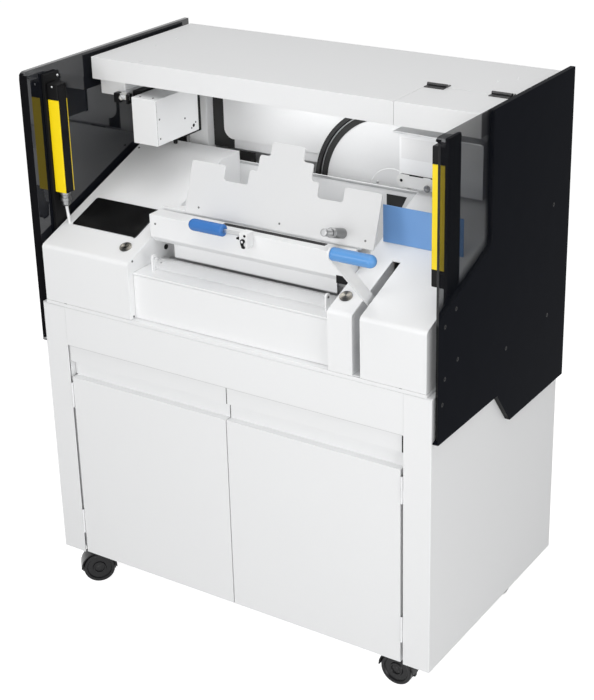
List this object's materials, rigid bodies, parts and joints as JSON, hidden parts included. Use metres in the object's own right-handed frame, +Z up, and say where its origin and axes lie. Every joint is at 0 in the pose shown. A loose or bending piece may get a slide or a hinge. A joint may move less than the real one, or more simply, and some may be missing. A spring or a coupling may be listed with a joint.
{
  "type": "printer cutter",
  "caption": "White print-and-cut machine on a two-door caster cabinet, with smoked side shields, yellow light curtains, loading bay with lever, supply reel and hinged top hatch.",
  "frame": {"origin": "middle of the overall box, on the floor under the casters", "axes": "+X to the operator's right, +Y back from the front of the machine, +Z up"},
  "size_m": [1.0246, 0.6936, 1.2673],
  "materials": {
    "white_paint": "fine satin powder coat",
    "stainless_steel": "brushed",
    "black_plastic": "matte",
    "black_rubber": "matte",
    "screen_glass": "glossy flat glass",
    "blue_plastic": "satin moulded",
    "yellow_paint": "satin",
    "smoked_acrylic": "polished smoked sheet",
    "clear_acrylic": "polished clear sheet"
  },
  "bodies": {
    "frame": {"side_left": "white_paint", "side_right": "white_paint", "cabinet_back": "white_paint", "cabinet_floor": "white_paint", "upper_fascia": "white_paint", "machine_base": "white_paint", "cowl_left": "white_paint", "cowl_right": "white_paint", "slot_channel": "stainless_steel", "bay_front": "white_paint", "bay_table": "white_paint", "bay_rear": "white_paint", "cutting_strip": "stainless_steel", "feed_motor": "black_plastic", "touch_screen": "screen_glass", "button_bezel_left": "stainless_steel", "button_bezel_right": "stainless_steel", "guide_plate": "white_paint", "plunger_body": "stainless_steel", "rail_bracket": "white_paint", "head_rail": "stainless_steel", "rear_beam": "white_paint", "rear_wall": "white_paint", "rear_frame": "white_paint", "label_module": "white_paint", "top_cover": "white_paint", "shield_left": "smoked_acrylic", "shield_right": "smoked_acrylic", "light_curtain_left": "yellow_paint", "light_curtain_right": "yellow_paint", "control_box": "black_plastic", "mains_inlet": "black_plastic"},
    "door_left": {"door_left": "white_paint"},
    "door_right": {"door_right": "white_paint"},
    "caster_front_left": {"caster_fork_front_left": "black_plastic"},
    "wheel_front_left": {"caster_wheel_front_left": "black_rubber"},
    "caster_front_right": {"caster_fork_front_right": "black_plastic"},
    "wheel_front_right": {"caster_wheel_front_right": "black_rubber"},
    "caster_rear_left": {"caster_fork_rear_left": "black_plastic"},
    "wheel_rear_left": {"caster_wheel_rear_left": "black_rubber"},
    "caster_rear_right": {"caster_fork_rear_right": "black_plastic"},
    "wheel_rear_right": {"caster_wheel_rear_right": "black_rubber"},
    "hatch": {"hatch_lid": "white_paint"},
    "clamp": {"clamp_bar": "white_paint", "clamp_handle": "stainless_steel", "grip_left": "blue_plastic"},
    "latch": {"clamp_latch": "black_plastic"},
    "lever": {"lever_arm": "white_paint", "grip_right": "blue_plastic"},
    "button_left": {"start_button_left": "stainless_steel"},
    "button_right": {"start_button_right": "stainless_steel"},
    "roller": {"feed_roller": "black_rubber"},
    "guard": {"clear_guard": "clear_acrylic"},
    "plunger": {"plunger_knob": "stainless_steel"},
    "flap": {"blue_flap": "blue_plastic"},
    "head": {"print_head": "white_paint", "head_carriage": "black_plastic"},
    "module_latch": {"module_latch": "stainless_steel"},
    "reel": {"reel_rim": "black_rubber", "reel_disc": "white_paint"}
  },
  "joints": [
    {"name": "door_left_hinge", "type": "hinge", "parent": "frame", "child": "door_left", "pos_m": [-0.4332, -0.24865, 0.35], "axis": [0, 0, 1], "range_deg": [-100, 0]},
    {"name": "door_right_hinge", "type": "hinge", "parent": "frame", "child": "door_right", "pos_m": [0.4332, -0.24865, 0.35], "axis": [0, 0, 1], "range_deg": [0, 100]},
    {"name": "swivel_front_left", "type": "hinge", "parent": "frame", "child": "caster_front_left", "pos_m": [-0.42, -0.17865, 0.09], "axis": [0, 0, 1], "continuous": true},
    {"name": "roll_front_left", "type": "hinge", "parent": "caster_front_left", "child": "wheel_front_left", "pos_m": [-0.44194, -0.19911, 0.0375], "axis": [0.682, -0.7314, 0], "continuous": true},
    {"name": "swivel_front_right", "type": "hinge", "parent": "frame", "child": "caster_front_right", "pos_m": [0.42, -0.17865, 0.09], "axis": [0, 0, 1], "continuous": true},
    {"name": "roll_front_right", "type": "hinge", "parent": "caster_front_right", "child": "wheel_front_right", "pos_m": [0.39, -0.17865, 0.0375], "axis": [0, -1, 0], "continuous": true},
    {"name": "swivel_rear_left", "type": "hinge", "parent": "frame", "child": "caster_rear_left", "pos_m": [-0.42, 0.27335, 0.09], "axis": [0, 0, 1], "continuous": true},
    {"name": "roll_rear_left", "type": "hinge", "parent": "caster_rear_left", "child": "wheel_rear_left", "pos_m": [-0.405, 0.24737, 0.0375], "axis": [0.866, 0.5, 0], "continuous": true},
    {"name": "swivel_rear_right", "type": "hinge", "parent": "frame", "child": "caster_rear_right", "pos_m": [0.42, 0.27335, 0.09], "axis": [0, 0, 1], "continuous": true},
    {"name": "roll_rear_right", "type": "hinge", "parent": "caster_rear_right", "child": "wheel_rear_right", "pos_m": [0.41739, 0.24346, 0.0375], "axis": [0.9962, -0.0872, 0], "continuous": true},
    {"name": "hatch_hinge", "type": "hinge", "parent": "frame", "child": "hatch", "pos_m": [0.39, 0.10175, 1.2611], "axis": [1, 0, 0], "range_deg": [-100, 0]},
    {"name": "clamp_hinge", "type": "hinge", "parent": "frame", "child": "clamp", "pos_m": [0.0085, -0.13665, 0.9083], "axis": [1, 0, 0], "range_deg": [0, 45]},
    {"name": "latch_hinge", "type": "hinge", "parent": "clamp", "child": "latch", "pos_m": [0.022, -0.19345, 0.9603], "axis": [0, 1, 0], "range_deg": [-90, 90]},
    {"name": "lever_hinge", "type": "hinge", "parent": "frame", "child": "lever", "pos_m": [0.32825, -0.12525, 0.824], "axis": [1, 0, 0], "range_deg": [-40, 70]},
    {"name": "button_left_press", "type": "slide", "parent": "frame", "child": "button_left", "axis": [0, 0.3502, -0.9367], "range_m": [0, 0.0025], "stiffness_N_per_m": 400, "springref_m": -0.002},
    {"name": "button_right_press", "type": "slide", "parent": "frame", "child": "button_right", "axis": [0, 0.3502, -0.9367], "range_m": [0, 0.0025], "stiffness_N_per_m": 400, "springref_m": -0.002},
    {"name": "roller_spin", "type": "hinge", "parent": "frame", "child": "roller", "pos_m": [0.0085, -0.10865, 0.8383], "axis": [1, 0, 0], "continuous": true},
    {"name": "guard_hinge", "type": "hinge", "parent": "frame", "child": "guard", "pos_m": [0.0085, -0.19565, 0.8808], "axis": [1, 0, 0], "range_deg": [-80, 30]},
    {"name": "plunger_pull", "type": "slide", "parent": "frame", "child": "plunger", "axis": [0, -0.9444, 0.3289], "range_m": [0, 0.01], "stiffness_N_per_m": 400, "springref_m": -0.003},
    {"name": "flap_hinge", "type": "hinge", "parent": "frame", "child": "flap", "pos_m": [0.36, -0.03895, 0.95688], "axis": [1, 0, 0], "range_deg": [0, 50]},
    {"name": "head_slide", "type": "slide", "parent": "frame", "child": "head", "axis": [0, 1, 0], "range_m": [0, 0.1]},
    {"name": "module_latch_hinge", "type": "hinge", "parent": "frame", "child": "module_latch", "pos_m": [0.232, 0.10905, 1.0403], "axis": [0, 1, 0], "range_deg": [-90, 0]},
    {"name": "reel_spin", "type": "hinge", "parent": "frame", "child": "reel", "pos_m": [0.1465, 0.22635, 0.9633], "axis": [0, 1, 0], "continuous": true}
  ]
}
